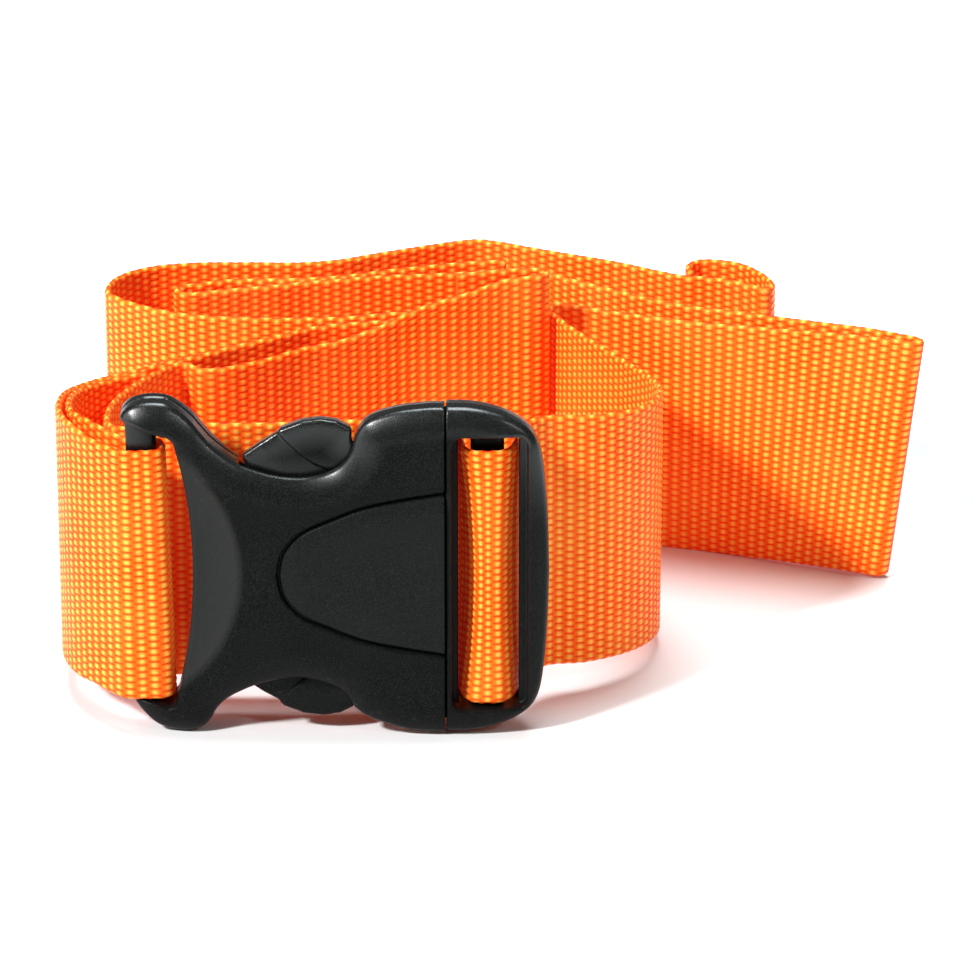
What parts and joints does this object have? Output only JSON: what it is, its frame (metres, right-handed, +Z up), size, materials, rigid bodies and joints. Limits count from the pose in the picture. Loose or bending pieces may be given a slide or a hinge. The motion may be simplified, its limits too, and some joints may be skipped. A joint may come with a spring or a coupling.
{
  "type": "spine board strap",
  "caption": "Folded webbing strap for a spine board, standing on its edges, closed by a side-release buckle with squeeze-to-open prongs.",
  "frame": {"origin": "under the middle of the part's box, on the surface it stands on", "axes": "+Z up, across the webbing; +X along the buckle from socket to plug; -Y out of the buckle's front face"},
  "size_m": [0.1664, 0.146, 0.0655],
  "materials": {
    "webbing": "woven, slight sheen",
    "acetal": "satin, fine grain",
    "thread": "twisted thread"
  },
  "bodies": {
    "root": {"buckle_socket": "acetal", "socket_strap_sewn_loop": "webbing", "socket_strap_inner_fold": "webbing", "socket_strap_back_fold": "webbing", "socket_strap_end_loop": "webbing", "plug_strap_free_end": "webbing", "plug_strap_rear_run": "webbing", "plug_strap_front_loop": "webbing", "plug_strap_right_fold": "webbing", "plug_strap_back_fold": "webbing", "stitch_row_front": "thread", "stitch_row_back": "thread"},
    "plug": {"buckle_plug": "acetal", "plug_strap_bar_wrap": "webbing"},
    "upper_prong": {"upper_release_prong": "acetal"},
    "lower_prong": {"lower_release_prong": "acetal"}
  },
  "joints": [
    {"name": "plug_slide", "type": "slide", "parent": "root", "child": "plug", "axis": [1, 0, 0], "range_m": [0, 0.045], "deforming": ["plug_strap_rear_run", "plug_strap_front_loop", "upper_release_prong", "lower_release_prong"]},
    {"name": "upper_prong_squeeze", "type": "hinge", "parent": "plug", "child": "upper_prong", "pos_m": [-0.0123, -0.06508, 0.0532], "axis": [0, -1, 0.0087], "range_deg": [0, 12], "stiffness_Nm_per_rad": 1},
    {"name": "lower_prong_squeeze", "type": "hinge", "parent": "plug", "child": "lower_prong", "pos_m": [-0.0123, -0.06543, 0.013], "axis": [0, 1, -0.0087], "range_deg": [0, 12], "stiffness_Nm_per_rad": 1}
  ]
}
